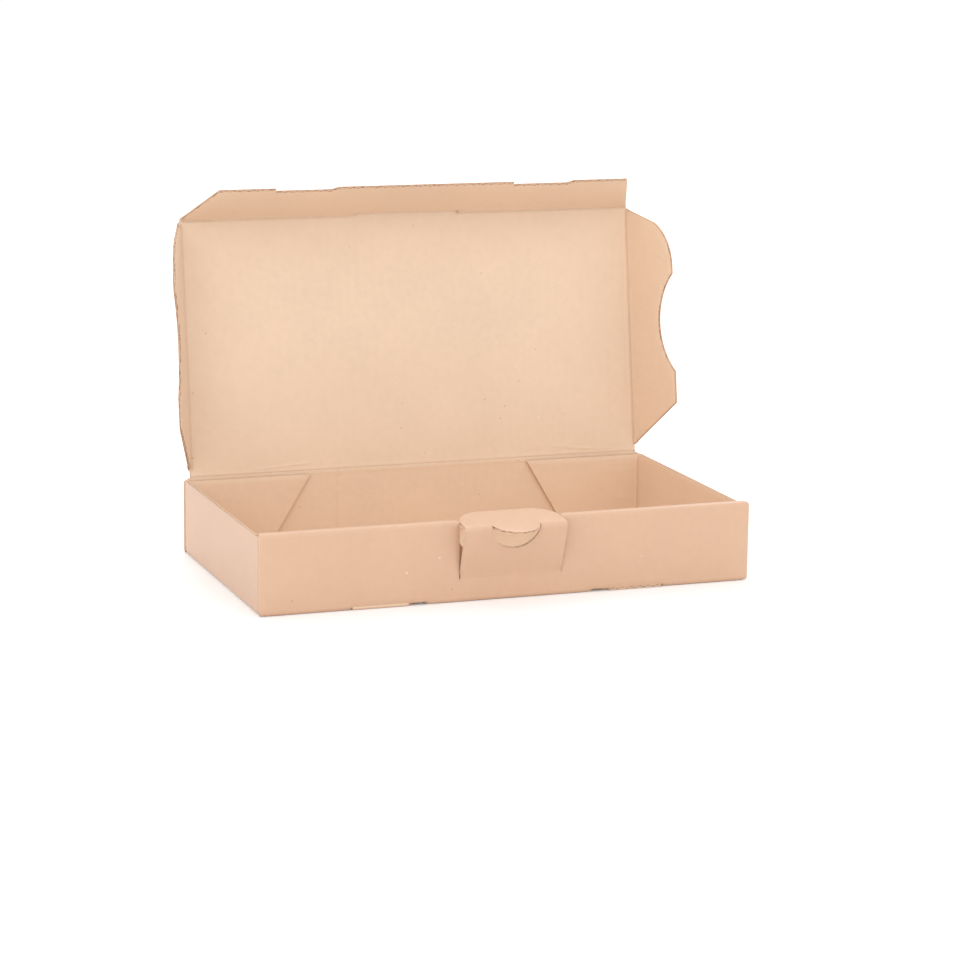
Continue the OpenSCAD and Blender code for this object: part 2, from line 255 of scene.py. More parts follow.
# %% Flat board
MM = 0.001
BOARD = 2.5            # mm, thickness of the sheet
CUT_THICK = 1.7        # mm, what is left of it at a cut edge
CRUSH = 2.6            # mm, how far in from the edge the board is crushed
LIP = 0.28             # mm, each liner's share of the cut edge, beside the groove
GRID = 4.0             # mm between cuts of the grid
EDGE_STEPS = (0.7, 2.4)                # mm, extra cuts beside a cut edge
BEND = 1.45            # mm, radius of the board's middle in a right-angled fold
QUARTER = BEND * math.pi / 2
SLACK = BEND - BOARD / 2                # mm, how much less than a wall's thickness a fold takes
SMALL = 0.2            # mm, clearance between a panel and the round edge that it turns on


def spaced(low, high, step=GRID):
    """Places of the regular cuts between two ends."""
    count = max(1, round((high - low) / step))
    return [low + (high - low) * i / count for i in range(1, count)]


def flat_regions(outlines, insets=()):
    """One face for each outline, with points of its own. cut_grid joins outlines that share an edge."""
    bm = bmesh.new()
    panel = bm.faces.layers.int.new("panel")
    for number, points in enumerate(outlines):
        face = bm.faces.new([bm.verts.new((x, y, 0)) for x, y in points])
        face[panel] = number
        for inset in insets:
            ring = bmesh.ops.inset_region(bm, faces=[face], thickness=inset, use_boundary=True,
                                          use_even_offset=True)
            for part in ring["faces"]:
                part[panel] = number
    return bm


def cut_grid(bm, xs=(), ys=()):
    """Cuts all faces along lines of constant X and of constant Y."""
    for axis, places in ((0, xs), (1, ys)):
        for place in sorted(set(round(p, 4) for p in places)):
            at, normal = [0, 0, 0], [0, 0, 0]
            at[axis], normal[axis] = place, 1
            bmesh.ops.bisect_plane(bm, geom=bm.verts[:] + bm.edges[:] + bm.faces[:], dist=1e-4,
                                   plane_co=at, plane_no=normal)
    bmesh.ops.remove_doubles(bm, verts=bm.verts, dist=2e-3)


def edge_distance(bm, edges):
    """Distance from each vertex to the nearest of the cut edges."""
    points = np.array([v.co.xy[:] for v in bm.verts])
    a = np.array([e.verts[0].co.xy[:] for e in edges])
    b = np.array([e.verts[1].co.xy[:] for e in edges])
    along = b - a
    length = np.maximum((along ** 2).sum(1), 1e-9)
    nearest = np.full(len(points), 1e3)
    for start in range(0, len(points), 2000):
        gap = points[start:start + 2000, None] - a[None]
        t = np.clip((gap * along).sum(2) / length, 0, 1)
        gap -= t[..., None] * along
        nearest[start:start + 2000] = np.sqrt((gap ** 2).sum(2).min(1))
    return nearest


def smooth(t):
    t = min(max(t, 0), 1)
    return t * t * (3 - 2 * t)


def near_line(x, y, ends_of_line, width):
    """1 on a line between two points, falling to 0 within about two widths of it."""
    (ax, ay), (bx, by) = ends_of_line
    t = ((x - ax) * (bx - ax) + (y - ay) * (by - ay)) / ((bx - ax) ** 2 + (by - ay) ** 2)
    fade = smooth(t * 6) * smooth((1 - t) * 6)
    t = min(max(t, 0), 1)
    gap = math.hypot(x - ax - t * (bx - ax), y - ay - t * (by - ay))
    return fade * math.exp(-(gap / width) ** 2)


def warp(x, y, room):
    """Board is never quite flat, and bulges outwards a little. room is 0 at its edges."""
    return 0.45 * (0.5 + noise.noise(Vector((x / 70, y / 70, 3.1)))) * smooth(room)


def thicken(bm, joint=None, half=None, emboss=None, groove=0.8, plain=None):
    """Flat faces to board. joint(x, y) says which border is no cut edge, half(x, y) gives another
    half thickness there, and emboss(x, y, w) moves a face in or out. plain(x, y) says which cut
    edge is closed by its own liner."""
    bm.verts.ensure_lookup_table()
    border = [e for e in bm.edges if e.is_boundary]
    cut = [e for e in border if not (joint and joint(*((e.verts[0].co + e.verts[1].co) / 2).xy))]
    distance = edge_distance(bm, cut)
    edge = bm.verts.layers.float.new("edge")
    for vertex, gap in zip(bm.verts, distance):
        vertex[edge] = gap
    cut_ends = {tuple(round(c, 3) for c in (e.verts[0].co + e.verts[1].co).xy) for e in cut}
    made = bmesh.ops.extrude_face_region(bm, geom=bm.faces[:])
    upper = {v for v in made["geom"] if isinstance(v, bmesh.types.BMVert)}
    for vertex in bm.verts:
        x, y = vertex.co.xy
        thick = (CUT_THICK + (BOARD - CUT_THICK) * smooth(vertex[edge] / CRUSH)) / 2
        if half:
            thick = min(thick, half(x, y)) if half(x, y) is not None else thick
        w = thick if vertex in upper else -thick
        vertex.co.z = w + (emboss(x, y, w) if emboss else 0)
    bmesh.ops.recalc_face_normals(bm, faces=bm.faces)
    rim = []
    for face in bm.faces:
        levels = {v in upper for v in face.verts}
        if len(levels) == 2:
            low = [v for v in face.verts if v not in upper]
            key = tuple(round(c, 3) for c in (low[0].co + low[1].co).xy) if len(low) == 2 else None
            if key in cut_ends and not (plain and plain(*face.calc_center_median().xy)):
                rim.append(face)
    if rim:
        bmesh.ops.inset_region(bm, faces=rim, thickness=LIP, depth=-groove, use_boundary=True,
                               use_even_offset=True)
        for face in rim:
            face.material_index = 1
    return bm


def finish_piece(name, bm, place, body, stands_for, blank_at=(0, 0)):
    """Keeps each point's flat place as the attribute, folds the mesh, and makes it an object."""
    sheet = bm.verts.layers.float_vector.new("sheet")
    for vertex in bm.verts:
        x, y, w = vertex.co
        vertex[sheet] = (x + blank_at[0], y + blank_at[1], w)
    panel = bm.faces.layers.int.get("panel")
    for vertex in bm.verts:
        number = min((f[panel] for f in vertex.link_faces), default=0) if panel else 0
        vertex.co = Vector(place(*vertex.co, number)) * MM
    bmesh.ops.recalc_face_normals(bm, faces=bm.faces)
    if bm.calc_volume(signed=True) < 0:
        bmesh.ops.reverse_faces(bm, faces=bm.faces)
    mesh = bpy.data.meshes.new(name)
    bm.to_mesh(mesh)
    bm.free()
    mesh.materials.append(liner)
    mesh.materials.append(flutes)
    mesh.shade_smooth()
    mesh.set_sharp_from_angle(angle=math.radians(38))
    piece = bpy.data.objects.new(name, mesh)
    bpy.context.collection.objects.link(piece)
    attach(piece, body)
    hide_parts(stands_for)
    print(name, "-", len(mesh.vertices), "vertices,", len(mesh.polygons), "faces")
    return piece


# %% [markdown]
# ## Folding
# A folded panel is a line that goes straight, turns a corner and goes straight again. One function
# follows such a line for a given length and then steps out of it by the depth in the board, so the
# outer liner takes the long way round a fold and the inner liner the short way, as paper does.

# %% Folding
def walk(length, w, legs):
    """Follows the middle of the board from the origin along +X. Each leg is (length, turn to the
    left in degrees). w is the step to the right, which is the outside of the box."""
    x, y, heading = 0.0, 0.0, 0.0
    for number, (leg, bend) in enumerate(legs):
        step = length if number == len(legs) - 1 else min(length, leg)
        if bend:
            radius = leg / math.radians(bend)
            middle_x, middle_y = x - radius * math.sin(heading), y + radius * math.cos(heading)
            heading += step / radius
            x, y = middle_x + radius * math.sin(heading), middle_y - radius * math.cos(heading)
        else:
            x, y = x + step * math.cos(heading), y + step * math.sin(heading)
        length -= step
        if length <= 0:
            break
    return x + w * math.sin(heading), y - w * math.cos(heading)


def ends(legs):
    """Where each leg ends, measured along the flat sheet."""
    total, marks = 0.0, []
    for leg, _ in legs:
        total += leg
        marks.append(total)
    return marks


def fold_cuts(legs, steps=5):
    """Cuts of the grid at each fold, and beside it for the bead."""
    marks, total = [], 0.0
    for leg, bend in legs:
        if bend:
            marks += [total + leg * i / steps for i in range(steps + 1)]
            marks += [total - gap for gap in (0.6, 1.3, 2.2, 3.4)]
            marks += [total + leg + gap for gap in (0.6, 1.3, 2.2, 3.4)]
        total += leg
    return marks


# %% [markdown]
# ## Tray
# Base, walls, roll and corner flaps are one folded sheet, so they are one piece here. The middle of
# the board runs from the base round each fold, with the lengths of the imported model. Half of the
# blank is cut and mirrored, because the tray is the same on both sides.

# %% Tray: the blank
WIDTH, DEPTH, HEIGHT = 316.0, 175.0, 50.0
HALF = WIDTH / 2
SIDE_X = HALF - BOARD - SLACK          # where the base ends and the fold to the side wall begins
END_Y = DEPTH / 2 - BOARD - SLACK
WALL = HEIGHT - 2 * (BOARD + SLACK)    # straight part of a wall between two folds
ROLL = 3.1 - 2 * SLACK                 # straight part of the roll's top
FLAP_Y = 82.0                          # where the side wall turns into its corner flaps
FLAP_REACH = 49.8                      # length of a front corner flap
BACK_FLAP_LONG, BACK_FLAP_SHORT = 80.3, 53.8          # a back corner flap, along its top and its foot
LIP_Z = BOARD + 0.3                    # lower edge of what stands on the base
SIDE_TOP, FLAP_TOP, BACK_FLAP_TOP = 47.2, 44.8, 47.15
INNER_DOWN = 44.65                     # the inner wall, from the roll down to where its tabs turn

FRONT = [(END_Y, 0), (QUARTER, 90), (WALL, 0), (QUARTER, 90), (ROLL, 0), (QUARTER, 90), (INNER_DOWN, 0),
         (QUARTER, 90), (20, 0)]
BACK = [(END_Y, 0), (QUARTER, 90), (60, 0)]
SIDE = [(SIDE_X, 0), (QUARTER, 90), (60, 0)]
CORNER = [(FLAP_Y, 0), (QUARTER, 90), (99, 0)]
front_marks, back_marks, side_marks = ends(FRONT), ends(BACK), ends(SIDE)
roll_end = front_marks[5]              # where the inner wall starts to hang from the roll


def on_front(z):
    return -(front_marks[1] + z - BOARD - SLACK)


def on_inner(z):
    return -(roll_end + HEIGHT - BOARD - SLACK - z)


def on_back(z):
    return back_marks[1] + z - BOARD - SLACK


def on_side(z):
    return side_marks[1] + z - BOARD - SLACK


def arc_points(x, y, radius, start, stop, steps):
    turns = [math.radians(start + (stop - start) * i / steps) for i in range(steps + 1)]
    return [(x + radius * math.cos(t), y + radius * math.sin(t)) for t in turns]


WINDOW, WINDOW_R = 33.1, 17.0          # half width and corner radius of the hole that the lock tab leaves
LOCK_Z, NOTCH_Z = 15.0, 26.6           # its lower edge, in the front wall and in the inner wall
SLOT_IN, SLOT_BEND, SLOT_OUT = 53.0, 54.8, 101.0      # a locking tab's slot, from the middle outwards
SLOT_TOP, SLOT_BACK = 2.2, 78.9
TAB_IN, TAB_TIP, TAB_OUT = 51.5, 66.0, 100.5          # the tab, which narrows towards its tip
TAB_REACH = 5.0                        # mm, what the tab runs forward under the front wall
tab_end = -(roll_end + INNER_DOWN + QUARTER + TAB_REACH)
notch = on_inner(NOTCH_Z)
window_edge = [(0, notch)] + arc_points(WINDOW - WINDOW_R, notch + WINDOW_R, WINDOW_R, -90, 0, 8)
window_edge += [(WINDOW, on_front(LOCK_Z)), (0, on_front(LOCK_Z))]
front_half = [
    (0, -END_Y), (SLOT_BEND, -END_Y), (SLOT_IN, on_front(SLOT_TOP)), (SLOT_OUT, on_front(SLOT_TOP)),
    (SLOT_OUT, -END_Y), (SIDE_X, -END_Y),
    (HALF, -END_Y), (HALF, -roll_end + 0.6), (HALF - 2.8, -roll_end), (HALF - 2.8, on_inner(LIP_Z)),
    (TAB_OUT, on_inner(LIP_Z)), (TAB_OUT, tab_end), (TAB_TIP, tab_end), (TAB_IN, on_inner(LIP_Z)),
    (0, on_inner(LIP_Z))] + window_edge
base_half = [(0, -END_Y), (SLOT_BEND, -END_Y), (SLOT_BEND, -SLOT_BACK), (SLOT_OUT, -SLOT_BACK),
             (SLOT_OUT, -END_Y), (SIDE_X, -END_Y),
             (SIDE_X, -END_Y + 0.4), (SIDE_X, END_Y - 0.4), (SIDE_X, END_Y), (0, END_Y)]
HINGE_Y, HINGE_Z = DEPTH / 2 - BOARD / 2, HEIGHT - BOARD / 2
LID_HALF = 153.9
NOSE = 1.2             # mm, how far a round crease edge reaches past its axis
back_half = [(0, END_Y), (SIDE_X, END_Y), (HALF, END_Y), (HALF, on_back(46.6)),
             (LID_HALF, on_back(HINGE_Z)),
             (LID_HALF, on_back(HINGE_Z) + NOSE), (0, on_back(HINGE_Z) + NOSE)]
slit_x, lip_x = SIDE_X + 2.2, on_side(LIP_Z)
flap_x, back_flap_x, top_x = on_side(FLAP_TOP), on_side(BACK_FLAP_TOP), on_side(SIDE_TOP)
turn_y = FLAP_Y + QUARTER
flap_end = -turn_y - FLAP_REACH
side_panel = [
    (SIDE_X, -END_Y + 0.4), (slit_x, -END_Y + 0.4), (slit_x, -FLAP_Y), (lip_x, -FLAP_Y),
    (lip_x, flap_end), (flap_x, flap_end), (flap_x, -turn_y - 2.3), (top_x, -turn_y),
    (top_x, turn_y), (back_flap_x, turn_y + 2.3),
    (back_flap_x, turn_y + BACK_FLAP_LONG), (lip_x, turn_y + BACK_FLAP_SHORT),
    (lip_x, FLAP_Y), (slit_x, FLAP_Y), (slit_x, END_Y - 0.4), (SIDE_X, END_Y - 0.4)]

SCORE_X = 55.3                         # a scored line down the back wall, on the left
WRINKLE_Z = (17.5, 24, 29.5, 36, 41)   # wrinkles where the right back corner flap was pressed round
xs = spaced(0, SIDE_X) + spaced(HALF, top_x) + fold_cuts(SIDE)
for place in (HALF, HALF - 2.8, top_x, flap_x):
    xs += [place - step for step in EDGE_STEPS]
xs += [lip_x + step for step in EDGE_STEPS] + [WINDOW + step for step in EDGE_STEPS] + [WINDOW, flap_x]
ys = spaced(flap_end, 168) + spaced(on_inner(LIP_Z), flap_end)
ys += [-m for m in fold_cuts(FRONT)] + fold_cuts(BACK)
ys += [m * s for m in fold_cuts(CORNER, 6) for s in (-1, 1)]
xs += [SCORE_X + step for step in (-1.2, -0.5, 0, 0.5, 1.2)]
xs += [on_side(z) + step for z in WRINKLE_Z for step in (-0.7, 0, 0.7)]
for place, inward in ((tab_end, 1), (on_inner(LIP_Z), 1), (flap_end, 1), (on_front(LOCK_Z), 1),
                      (notch, -1)):
    ys += [place + inward * step for step in EDGE_STEPS]
ys += [on_back(HINGE_Z) + step for step in (-3, -1.6, -0.7, 0, 0.4, 0.75, 1.0)]
tray_blank = flat_regions([front_half, base_half, back_half, side_panel])
cut_grid(tray_blank, xs, ys)
half_blank = tray_blank.verts[:] + tray_blank.edges[:] + tray_blank.faces[:]
bmesh.ops.mirror(tray_blank, geom=half_blank, axis="X", merge_dist=2e-3)
bmesh.ops.remove_doubles(tray_blank, verts=tray_blank.verts, dist=2e-3)
print("tray blank:", len(tray_blank.faces), "flat faces")


# %% Tray: thickness and folding
BASE_CREASES = (-(front_marks[0] + QUARTER / 2), back_marks[0] + QUARTER / 2)


def bead(gap):
    """A crease squeezes the inner liner up into a low bead on each side of its valley."""
    gap = abs(gap) - QUARTER / 2 - 1.3
    return 0.28 * math.exp(-(gap / 0.8) ** 2)


def tray_emboss(x, y, w):
    if w > 0:
        return 0
    lift = 0
    on_strip = abs(x) < HALF + 0.2
    for crease in BASE_CREASES:
        if on_strip and abs(y - crease) < 4:
            lift += bead(y - crease)
    if abs(y) < FLAP_Y and abs(abs(x) - SIDE_X - QUARTER / 2) < 4:
        lift += bead(abs(x) - SIDE_X - QUARTER / 2)
    if abs(x) > lip_x and abs(abs(y) - FLAP_Y - QUARTER / 2) < 4:
        lift += bead(abs(y) - FLAP_Y - QUARTER / 2)
    if x > lip_x and y > turn_y:
        for number, z in enumerate(WRINKLE_Z):
            reach = 9 + 7 * math.sin(number * 2.4)
            start = (on_side(z), turn_y + 3)
            lift += 0.14 * near_line(x, y, (start, (start[0] + 0.8, turn_y + 12 + reach)), 0.55)
    if x < 0 and on_strip and y > back_marks[1]:
        score = ((-SCORE_X, back_marks[1] - 6), (-SCORE_X, back_marks[1] + 52))
        lift -= 0.3 * near_line(x, y, score, 0.5)
    return -lift


def tray_half(x, y):
    """Half thickness of the round edge that the lid turns on."""
    past = y - on_back(HINGE_Z)
    if past > 0 and abs(x) < HALF and y < on_back(HINGE_Z) + NOSE + 0.1:
        return math.sqrt(max(0.02, (BOARD / 2) ** 2 - past ** 2))
    return None


def tray_joint(x, y):
    return abs(y - on_back(HINGE_Z) - NOSE) < 0.05 and abs(x) < LID_HALF + 0.1


def fold_tray(x, y, w, panel):
    side = math.copysign(1, x)
    if panel < 3:
        along, height = walk(abs(y), w, FRONT if y < 0 else BACK)
        return x, math.copysign(along, y), BOARD / 2 + height
    if abs(x) > slit_x + 0.05 and abs(y) > FLAP_Y:
        along, inward = walk(abs(y), w, CORNER)
        height = abs(x) - side_marks[1] + BOARD + SLACK
        return side * (HALF - BOARD / 2 - inward), math.copysign(along, y), height
    across, height = walk(abs(x), w, SIDE)
    return side * across, y, BOARD / 2 + height


thicken(tray_blank, tray_joint, tray_half, tray_emboss, 0.3,
        lambda x, y: x < 0 and abs(y - tab_end) < 0.5)
tray = finish_piece("folded_tray", tray_blank, fold_tray, "tray", "tray")

# %% [markdown]
# ## Lid
# The lid is one flat panel that leans back a little. Three of its edges are creases, which end in
# a round edge that the next flap turns on. Its front edge keeps the shallow piece beside the slit.

# %% Lid
LEAN = math.radians(8.6)
LID_L = 164.05
lid_up = Vector((0, math.sin(LEAN), math.cos(LEAN)))
lid_out = Vector((0, math.cos(LEAN), -math.sin(LEAN)))
hinge = Vector((0, HINGE_Y, HINGE_Z))
EAR_FROM, EAR_TO = 4.35, 162.2
TUCK_HALF = 153.3
SLIT_LEFT, SLIT_RIGHT, SLIT_PIECE = -36.9, 33.1, 3.0  # the slit's ends, and how far its piece stands out
LID_TRIM_OUT, LID_TRIM_IN = 1.8, 1.45  # mm, from the hinge's axis to the lid's lower edge


def on_lid(x, y, w):
    """A point of the lid's own plane: x across, y up from the hinge, w towards the outside."""
    return Vector((x, 0, 0)) + hinge + lid_up * y + lid_out * w


top = LID_L + NOSE
lid_outline = [
    (-LID_HALF, SMALL), (LID_HALF, SMALL), (LID_HALF, EAR_FROM), (LID_HALF + NOSE, EAR_FROM),
    (LID_HALF + NOSE, EAR_TO), (LID_HALF, EAR_TO + 0.4), (TUCK_HALF, LID_L), (TUCK_HALF, top),
    (33.4, top), (33.2, LID_L + 0.3), (32.8, LID_L + 0.3), (30.8, LID_L + SLIT_PIECE),
    (-28.8, LID_L + SLIT_PIECE), (-33.6, top), (-TUCK_HALF, top), (-TUCK_HALF, LID_L),
    (-LID_HALF, EAR_TO + 0.4), (-LID_HALF - NOSE, EAR_TO), (-LID_HALF - NOSE, EAR_FROM),
    (-LID_HALF, EAR_FROM)]
lid_blank = flat_regions([lid_outline])
round_steps = (-3.4, -2.2, -1.2, -0.5, 0, 0.4, 0.75, 1.0)
cut_grid(lid_blank,
         spaced(-LID_HALF, LID_HALF) + [s * (LID_HALF + g) for g in round_steps for s in (-1, 1)],
         spaced(0, LID_L) + [LID_L + g for g in round_steps] + [2.4, 3.0, 3.6, 4.2, 4.8, 5.4, 6.0, 6.8])


LID_CRACKS = (((-112, 2.6), (-72, 5.4)), ((92, 6.8), (121, 3.6)), ((112, 3.9), (139, 2.4)))


def lid_half(x, y):
    in_piece = -36.8 < x < 33.2 and y > LID_L
    past = max(abs(x) - LID_HALF, 0 if in_piece else y - LID_L)
    return math.sqrt(max(0.02, (BOARD / 2) ** 2 - past ** 2)) if past > 0 else None


def lid_joint(x, y):
    round_edge = abs(x) > LID_HALF + NOSE - 0.05 or (abs(y - top) < 0.05)
    return round_edge or y < 0.3


def lid_emboss(x, y, w):
    if w > 0:
        return 0
    return -0.3 * sum(near_line(x, y, crack, 0.7) for crack in LID_CRACKS)


thicken(lid_blank, lid_joint, lid_half, lid_emboss)
for vertex in lid_blank.verts:
    x, y, w = vertex.co
    vertex.co.z += warp(x, y, min(LID_HALF - abs(x), y, LID_L - y) / 30)
    if y > LID_L and -37 < x < 33.2:
        vertex.co.z += (y - LID_L) * math.tan(math.radians(7))
# The lower edge is trimmed, so that the lid can turn on the tray's round edge, forwards and backwards
for vertex in lid_blank.verts:
    if vertex.co.y < 0.3:
        vertex.co.y = LID_TRIM_OUT if vertex.co.z > 0 else LID_TRIM_IN
lid = finish_piece("lid_panel", lid_blank, lambda x, y, w, panel: on_lid(x, y, w),
                   "lid", "lid", (0, on_back(HINGE_Z)))

# %% [markdown]
# ## Tuck flap and ears
# They are flat panels that fold in from the lid. Each starts at its crease, hollowed to turn on the
# lid's round edge. Because they fold by different angles, each has its own small frame on the lid.

# %% Tuck flap
TUCK_FOLD = math.radians(68.5)
TUCK_L, RECESS_L, TUCK_TIP = 45.0, 41.5, 137.9        # length, length in the recesses, half width there


def turned(y, w, fold):
    """Folds a flap in by an angle: how far it reaches on, and how far out of the lid's plane."""
    return y * math.cos(fold) + w * math.sin(fold), -y * math.sin(fold) + w * math.cos(fold)


def hollow(bm, limit):
    """Trims the crease edge, so that the flap can fold by the limit without cutting into the lid."""
    for vertex in bm.verts:
        if vertex.co.y < 0.3:
            inner = BOARD / 2 * math.tan(math.radians(limit / 2)) + 0.25
            vertex.co.y = 1.0 if vertex.co.z > 0 else inner


def tuck_place(x, y, w, panel):
    reach, out = turned(y, w, TUCK_FOLD)
    return on_lid(x, LID_L + reach, out)


tuck_outline = [
    (-TUCK_HALF, SMALL), (SLIT_LEFT, SMALL), (SLIT_LEFT, 3.5), (SLIT_RIGHT, 3.5), (SLIT_RIGHT, SMALL),
    (TUCK_HALF, SMALL), (TUCK_TIP, TUCK_L), (100.5, TUCK_L), (96.5, RECESS_L), (59.5, RECESS_L),
    (59.5, TUCK_L), (-59.5, TUCK_L), (-63.5, RECESS_L), (-100.5, RECESS_L), (-100.5, TUCK_L),
    (-TUCK_TIP, TUCK_L)]
tuck_blank = flat_regions([tuck_outline])
cut_grid(tuck_blank, spaced(-TUCK_HALF, TUCK_HALF),
         spaced(0, TUCK_L) + [2.7, 3.4, 39.1, 40.8, RECESS_L, 42.6, 44.3])
thicken(tuck_blank, lambda x, y: y < 0.3)
hollow(tuck_blank, 112)
tuck = finish_piece("tuck_flap_panel", tuck_blank, tuck_place, "tuck_flap", "tuck_flap",
                    (0, on_back(HINGE_Z) + LID_L))

# %% Ears
EAR_L, LOBE, WAVE_AT, WAVE_R, WAVE_L, SHOULDER = 45.2, 33.0, 86.0, 43.0, 14.4, 33.6
shoulder_at = (EAR_TO - 5.6 - SHOULDER, EAR_L - SHOULDER)
wave_y = EAR_L - WAVE_L + WAVE_R
swing = math.degrees(math.acos((WAVE_R - WAVE_L) / WAVE_R))
ear_outline = ([(EAR_FROM + 0.2, SMALL), (EAR_TO - 0.1, SMALL)]
               + arc_points(*shoulder_at, SHOULDER, 30, 90, 12)
               + arc_points(WAVE_AT, wave_y, WAVE_R, -90 + swing, -90 - swing, 20) + [(LOBE, EAR_L)])


def ear(name, side, fold_degrees):
    fold = math.radians(fold_degrees)
    blank = flat_regions([ear_outline], EDGE_STEPS)
    cut_grid(blank, spaced(0, 165), spaced(0, 46) + [3.0, 4.2])
    thicken(blank, lambda a, b: b < 0.3)
    hollow(blank, 120)

    def place(a, b, w, panel):
        reach, out = turned(b, w, fold)
        return on_lid(side * (LID_HALF + reach), a, out)

    # On the blank the ear lies beside the lid, so its own X runs along the flutes
    sheet = blank.verts.layers.float_vector.new("flat")
    for vertex in blank.verts:
        vertex[sheet] = (vertex.co.y, vertex.co.x, vertex.co.z)
    piece = finish_piece(name + "_panel", blank, place, name, name)
    flat = piece.data.attributes["flat"].data
    target = piece.data.attributes["sheet"].data
    for source, goal in zip(flat, target):
        x, y, w = source.vector
        goal.vector = (side * (LID_HALF + x), on_back(HINGE_Z) + y, w)
    piece.data.attributes.remove(piece.data.attributes["flat"])
    return piece


LEFT_FOLD, RIGHT_FOLD = 70, 73.5       # degrees
left_ear = ear("left_ear", -1, LEFT_FOLD)
right_ear = ear("right_ear", 1, RIGHT_FOLD)

# %% [markdown]
# ## Lock tab
# Its face is cut out of the outer front wall, and the tongue out of the roll and the inner wall.
# The thumb piece lies in one plane with the tongue and leaves a half-round hole in the face. The
# face and the fold are one flat piece, bent, and the tongue joins it at the end of the bend.

# %% Lock tab
LOCK_W, LOCK_H = 65.6, 32.2
TONGUE_L, TONGUE_R, TONGUE_FOLD = 24.0, 17.0, 99.0
THUMB_W, THUMB_L = 30.6, 12.8
TILT = math.radians(18)
setback = SLACK * math.tan(math.radians(TONGUE_FOLD / 2))
bend_l = BEND * math.radians(TONGUE_FOLD)
LOCK = [(LOCK_H - setback, 0), (bend_l, TONGUE_FOLD), (40, 0)]
bend_from, bend_to = ends(LOCK)[:2]
thumb_r = (THUMB_W ** 2 / 4 + THUMB_L ** 2) / (2 * THUMB_L)
tab_up = Vector((0, -math.sin(TILT), math.cos(TILT)))
tab_out = Vector((0, -math.cos(TILT), -math.sin(TILT)))
tab_at = Vector((0, -DEPTH / 2 + BOARD / 2, LOCK_Z))


def lock_place(x, y, w, panel):
    along, inward = walk(max(y, 0), w, LOCK) if panel == 0 else walk(bend_to + y, w, LOCK)
    if panel == 1 and y < 0:
        # The thumb piece runs straight on past the fold, in the tongue's plane
        start, onward = Vector(walk(bend_to, w, LOCK)), Vector(walk(bend_to + 1, w, LOCK))
        along, inward = start + (onward - start) * y
    if panel == 0 and y < 0:
        along = y
    return Vector((x, 0, 0)) + tab_at + tab_up * along - tab_out * inward


LW = LOCK_W / 2
hole_x, hole_y = THUMB_W / 2 + SMALL, LOCK_H - 0.1
hole_r = thumb_r + SMALL
hole_half = math.degrees(math.acos((hole_r - THUMB_L - SMALL) / hole_r))
face_outline = [(-LW, SMALL), (LW, SMALL), (LW, bend_to), (hole_x, bend_to), (hole_x, hole_y)]
face_outline += arc_points(0, hole_y + hole_r - THUMB_L - SMALL, hole_r,
                           -90 + hole_half - 1, -90 - hole_half + 1, 18)
face_outline += [(-hole_x, hole_y), (-hole_x, bend_to), (-LW, bend_to)]
thumb_half = math.degrees(math.acos((thumb_r - THUMB_L - setback) / thumb_r))
tongue_end = TONGUE_L - setback
tongue_outline = [(-LW, 0)] + arc_points(0, thumb_r - THUMB_L - setback, thumb_r,
                                         -90 - thumb_half, -90 + thumb_half, 18)
tongue_outline += [(LW, 0), (LW + 0.2, 0.5), (LW + 0.1, 2.0)]
tongue_outline += arc_points(LW - TONGUE_R, tongue_end - TONGUE_R, TONGUE_R, 12, 90, 9)
tongue_outline += arc_points(-LW + TONGUE_R, tongue_end - TONGUE_R, TONGUE_R, 90, 180, 10)


face_blank = flat_regions([face_outline])
cut_grid(face_blank, spaced(-LW, LW, 3) + [s * (LW - g) for g in EDGE_STEPS for s in (-1, 1)],
         spaced(0, LOCK_H, 3) + fold_cuts(LOCK, 6) + [2.0])
thicken(face_blank, lambda x, y: y < 0.3 or y > bend_to - 0.01)
for vertex in face_blank.verts:
    if vertex.co.y < 0.3:
        vertex.co.y = 1.15 if vertex.co.z > 0 else 1.5
tongue_blank = flat_regions([tongue_outline])
cut_grid(tongue_blank, spaced(-LW, LW, 3) + [s * (LW - g) for g in EDGE_STEPS for s in (-1, 1)],
         spaced(-14, tongue_end, 2.5) + [tongue_end - g for g in EDGE_STEPS] + [0])
thicken(tongue_blank, lambda x, y: abs(y) < 1e-3 and abs(x) > THUMB_W / 2 + 0.3)
lock_face = finish_piece("lock_tab_face", face_blank, lambda x, y, w, p: lock_place(x, y, w, 0),
                         "lock_tab", "lock_tab", (0, on_front(LOCK_Z)))
lock_tongue = finish_piece("lock_tab_tongue", tongue_blank, lambda x, y, w, p: lock_place(x, y, w, 1),
                           "lock_tab", "lock_tab", (0, on_front(LOCK_Z) - 40))

# %% [markdown]
# ## Creases that bend
# Where a flap turns, the two papers run on from one panel to the next: outside they lie round the
# fold, and inside they are pressed into a valley with a low bead on each side. Each is a thin strip,
# built where its crease lies in this pose. A strip starts as the line
# of its cross-section, is extruded along the crease, and gets its thickness last.

# %% Crease papers
# The inner paper's bead: distance from the valley and height, in mm
BEADS = ((3.4, 0.02), (2.6, 0.06), (1.9, 0.15), (1.2, 0.18), (0.55, 0.08))
VALLEY = 0.3           # mm, how deep the valley is pressed in
# SHADE is painted shade across the crease's valley, read by the liner through the attribute "crease"
SHADE = (0, 0, 0, 0, 0.35, 1, 0.35, 0, 0, 0, 0)       # the attribute "crease" across the inner paper
PAPER = 0.1            # mm
STRIP_STEP = 12        # mm between the cross-sections of a strip


